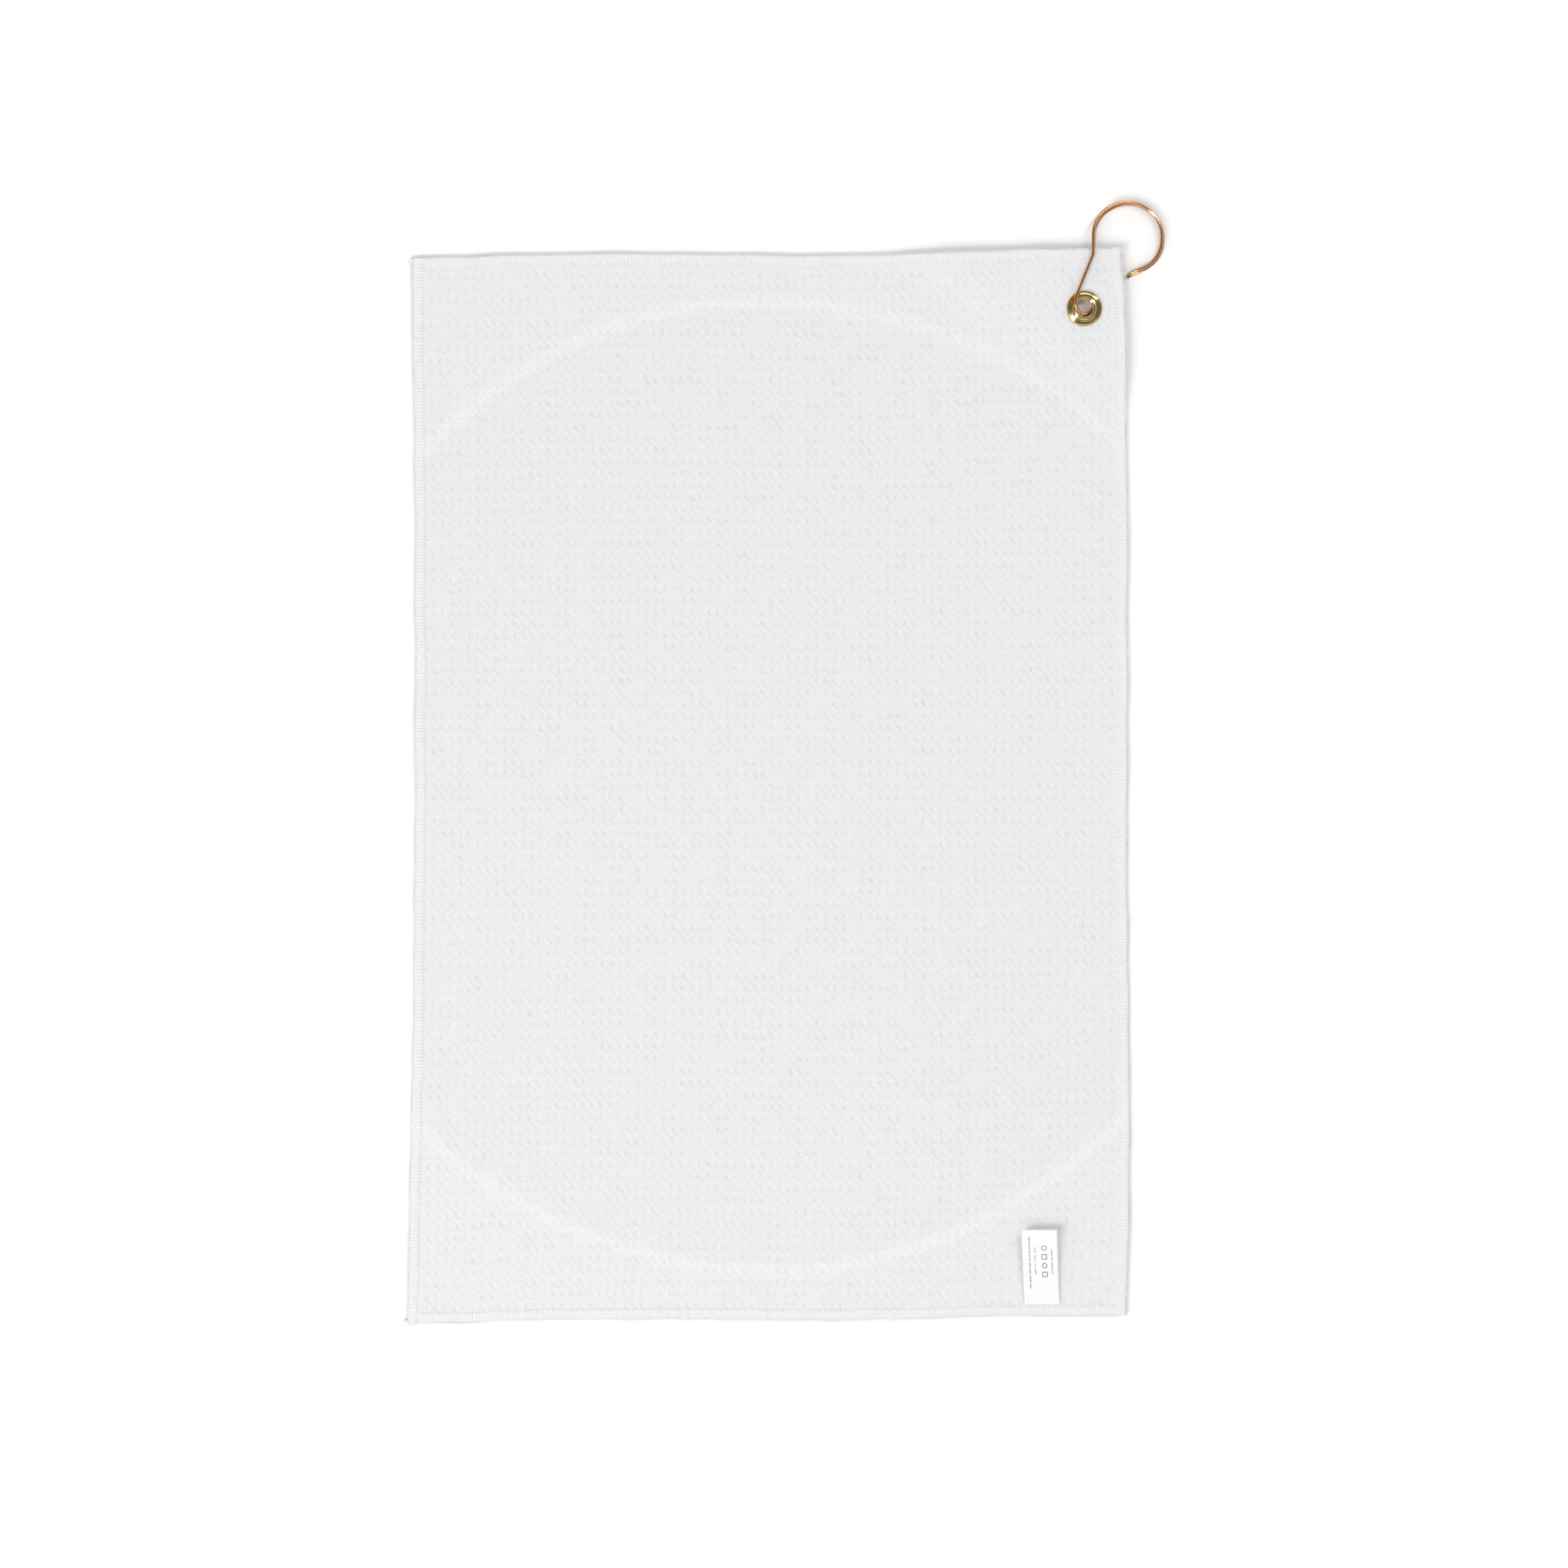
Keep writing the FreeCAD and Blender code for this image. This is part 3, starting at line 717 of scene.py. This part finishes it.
def turnedPiece(name, outline, material):
    bm = bmesh.new()
    verts = [bm.verts.new((grommetCentre.x + r, grommetCentre.y, z)) for r, z in outline]
    edges = [bm.edges.new((verts[i], verts[(i + 1) % len(verts)])) for i in range(len(verts))]
    bmesh.ops.spin(bm, geom=verts + edges, cent=(grommetCentre.x, grommetCentre.y, 0), axis=(0, 0, 1),
                   angle=2 * math.pi, steps=grommet["steps"], use_merge=True)
    bmesh.ops.remove_doubles(bm, verts=bm.verts, dist=1e-7)
    for v in bm.verts:
        v.co.z += noise.noise(v.co * grommet["dentsPerMetre"]) * grommet["dent"]
    bmesh.ops.recalc_face_normals(bm, faces=bm.faces)
    return addPiece(name, meshFrom(bm, name), material)


def polishedBrass():
    # yellow brass, drawn and tumbled to a polish: warm pale gold with faint handling marks
    material, tree = newMaterial("brass, polished")
    place = addNode(tree, "ShaderNodeTexCoord")
    marks = addNode(tree, "ShaderNodeTexNoise", {"Vector": place.outputs["Object"], "Detail": 4.0,
                                                 "Scale": 1 / grommet["scratch"] / 4})
    tone = mixNode(tree, marks.outputs["Fac"], linear(grommet["worn"]), linear(grommet["colour"]))
    rough = addNode(tree, "ShaderNodeMapRange", {"Value": marks.outputs["Fac"], "To Min": 0.08,
                                                 "To Max": 0.16})
    finishMaterial(tree, {"Base Color": tone, "Metallic": 1.0, "Roughness": rough.outputs[0]})
    return material


brass = polishedBrass()
beadR = grommet["bore"] + grommet["bead"]
beadZ = grommetHigh.z - grommet["bead"]
washerLow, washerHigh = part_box("grommet_washer")
seatZ = washerLow.z + grommet["sheet"]
clampLow = cornerLift + weave["squeezeLow"]
wallR = grommet["bore"] + grommet["sheet"]
innerBead = grommet["bead"] - grommet["sheet"]
lipOut = math.degrees(math.asin((seatZ - beadZ) / grommet["bead"]))
lipIn = math.degrees(math.asin((seatZ - beadZ) / innerBead))
steps = grommet["arcSteps"]
eyeletOutline = (
    arcPlaces(beadR, beadZ, grommet["bead"], 180, lipOut, steps)
    + arcPlaces(beadR, beadZ, innerBead, lipIn, 180, steps)
    + domePlaces((wallR, clampLow), grommetLow.z + grommet["sheet"],
                 (grommetRadius - grommet["sheet"], clampLow), steps)
    + domePlaces((grommetRadius, clampLow), grommetLow.z, (grommet["bore"], clampLow), steps)
)
eyelet = turnedPiece("grommetEyelet", eyeletOutline, brass)
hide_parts("grommet")
footR = beadR + grommet["bead"] * math.cos(math.radians(lipOut))
crestR = grommetRadius - 0.75 * mm
crestZ = washerHigh.z + 0.15 * mm
washerOutline = (
    [(wallR + 0.1 * mm, washerLow.z), (wallR + 0.1 * mm, seatZ), (footR, seatZ)]
    + slopePlaces((footR + 0.3 * mm, seatZ), (crestR, crestZ), steps)
    + slopePlaces((crestR + 0.02 * mm, crestZ), (grommetRadius - 0.02 * mm, washerLow.z + 0.25 * mm), steps)
    + [(grommetRadius - 0.08 * mm, washerLow.z + 0.05 * mm), (grommetRadius - 0.2 * mm, washerLow.z)]
)
washer = turnedPiece("grommetWasher", washerOutline, brass)
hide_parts("grommet_washer")
for piece in (eyelet, washer):
    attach(piece, "towel_upper")
print("grommet", len(eyelet.data.polygons) + len(washer.data.polygons), "faces")


# hook: steel wire drawn round, bent double and copper plated
hook = {
    "colour": "E0B28A",
    "worn": "C48E62",
    "mark": 1.2 * mm,
    "creaseAngle": 40,
}


def copperWire():
    # copper-toned plating over drawn wire, polished: warm brown with sharp bright streaks
    material, tree = newMaterial("copper plated wire, polished")
    place = addNode(tree, "ShaderNodeTexCoord")
    tarnish = addNode(tree, "ShaderNodeTexNoise", {"Vector": place.outputs["Object"], "Detail": 3.0,
                                                   "Scale": 1 / hook["mark"] / 4})
    tone = mixNode(tree, tarnish.outputs["Fac"], linear(hook["worn"]), linear(hook["colour"]))
    rough = addNode(tree, "ShaderNodeMapRange", {"Value": tarnish.outputs["Fac"], "To Min": 0.08,
                                                 "To Max": 0.16})
    finishMaterial(tree, {"Base Color": tone, "Metallic": 1.0, "Roughness": rough.outputs[0]})
    return material


bm = bmesh.new()
bm.from_mesh(frame["nodes"]["hook_wire"].data)
bmesh.ops.remove_doubles(bm, verts=bm.verts, dist=1e-6)
hookMesh = meshFrom(bm, "hookWire")
hookMesh.materials.clear()
hookMesh.set_sharp_from_angle(angle=math.radians(hook["creaseAngle"]))
hookWire = addPiece("hookWire", hookMesh, copperWire())
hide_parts("hook_wire")
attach(hookWire, "hook")
print("hook", len(hookWire.data.polygons), "faces")


# studio: white paper, a bright band of tent all round below a dark roof, and four strip lights
studio = {
    "floorSize": 6.0,
    "skyBelow": 0.16,
    "skyLow": 0.6,
    "skyBand": 1.15,
    "skyRoof": 0.17,
    "roofAxis": (-0.10, 0.12, 1.0),         # the roof is a little off centre
    # strip lights: place, width, length and watts
    "strips": (((-2.2, -1.9, 2.8), 0.8, 2.6, 80), ((2.0, 1.9, 3.2), 0.5, 2.4, 55),
               ((0.0, -1.9, 2.8), 2.2, 0.9, 10), ((0.0, 1.4, 2.9), 1.2, 0.5, 3)),
    "cameraHeight": 3.0,
    "frameSide": 0.896,
    "cameraShiftX": 8.2 * mm,
    "cameraShiftY": -1.1 * mm,
}

floorMaterial, tree = newMaterial("white studio paper")
paper = addNode(tree, "ShaderNodeTexNoise", {"Scale": 400.0})
paperTone = addNode(tree, "ShaderNodeMapRange", {"Value": paper.outputs["Fac"], "To Min": 0.985,
                                                 "To Max": 1.0})
finishMaterial(tree, {"Base Color": paperTone.outputs[0], "Roughness": 0.9, "Specular IOR Level": 0.1})
bm = bmesh.new()
bmesh.ops.create_grid(bm, x_segments=1, y_segments=1, size=studio["floorSize"])
floor = addPiece("floor", meshFrom(bm, "floor"), floorMaterial)
floor.location.z = -0.05 * mm

world = bpy.data.worlds.new("studio")
bpy.context.scene.world = world
world.use_nodes = True
world.node_tree.nodes.clear()
direction = addNode(world.node_tree, "ShaderNodeTexCoord")
upward = addNode(world.node_tree, "ShaderNodeVectorMath", {0: direction.outputs["Generated"],
                                                           1: Vector(studio["roofAxis"]).normalized()},
                 operation="DOT_PRODUCT")
lifted = addNode(world.node_tree, "ShaderNodeMapRange", {"Value": upward.outputs["Value"], "From Min": -1.0})
sky = addNode(world.node_tree, "ShaderNodeValToRGB", {"Fac": lifted.outputs[0]})
skyOut = setRamp(sky, [(0.48, studio["skyBelow"]), (0.52, studio["skyLow"]), (0.62, studio["skyLow"]),
                       (0.65, studio["skyBand"]), (0.76, studio["skyBand"]), (0.8, studio["skyRoof"])])
background = addNode(world.node_tree, "ShaderNodeBackground", {"Color": skyOut})
addNode(world.node_tree, "ShaderNodeOutputWorld", {"Surface": background.outputs[0]})

for place, wide, long, power in studio["strips"]:
    stripData = bpy.data.lights.new("strip", "AREA")
    stripData.shape = "RECTANGLE"
    stripData.size = wide
    stripData.size_y = long
    stripData.energy = power
    strip = bpy.data.objects.new("strip", stripData)
    strip.location = place
    strip.rotation_euler = (-strip.location).to_track_quat("-Z", "Y").to_euler()
    bpy.context.scene.collection.objects.link(strip)

cameraData = bpy.data.cameras.new("camera")
cameraData.lens = cameraData.sensor_width * studio["cameraHeight"] / studio["frameSide"]
camera = bpy.data.objects.new("camera", cameraData)
camera.location = (studio["cameraShiftX"], studio["cameraShiftY"], studio["cameraHeight"])
bpy.context.scene.collection.objects.link(camera)
bpy.context.scene.camera = camera
bpy.context.scene.view_settings.view_transform = "Standard"
print("studio ready")
